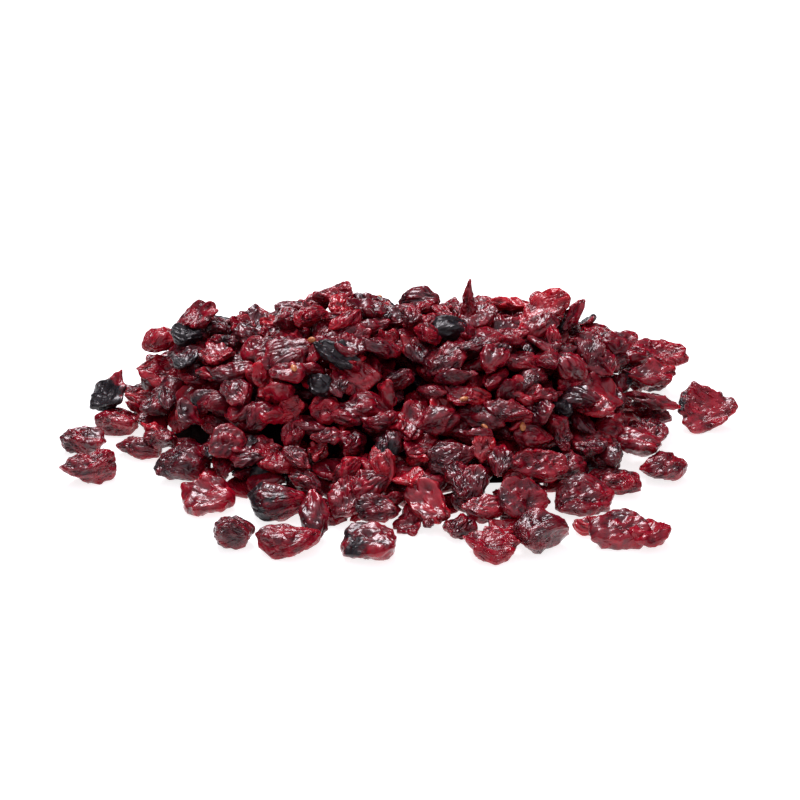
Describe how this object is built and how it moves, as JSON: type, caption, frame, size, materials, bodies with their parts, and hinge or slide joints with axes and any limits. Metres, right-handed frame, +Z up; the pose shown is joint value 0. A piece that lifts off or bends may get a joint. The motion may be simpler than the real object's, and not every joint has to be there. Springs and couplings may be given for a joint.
{
  "type": "heap of dried cranberries",
  "caption": "Low, uneven heap of wrinkled dried cranberries lying on a flat surface, with some loose berries beside it.",
  "frame": {"origin": "middle of the footprint of all the berries, on the surface that they lie on", "axes": "+X along the heap's longest extent, to the right as seen from its front; +Y from its front to its back; +Z up"},
  "size_m": [0.186, 0.1346, 0.0422],
  "materials": {
    "berry_skin": "wrinkled dark crimson skin with a soft gloss"
  },
  "bodies": {
    "root": {"cranberry_heap": "berry_skin", "stray_left_back": "berry_skin", "stray_left_front": "berry_skin", "stray_front": "berry_skin", "stray_right": "berry_skin"}
  },
  "joints": []
}
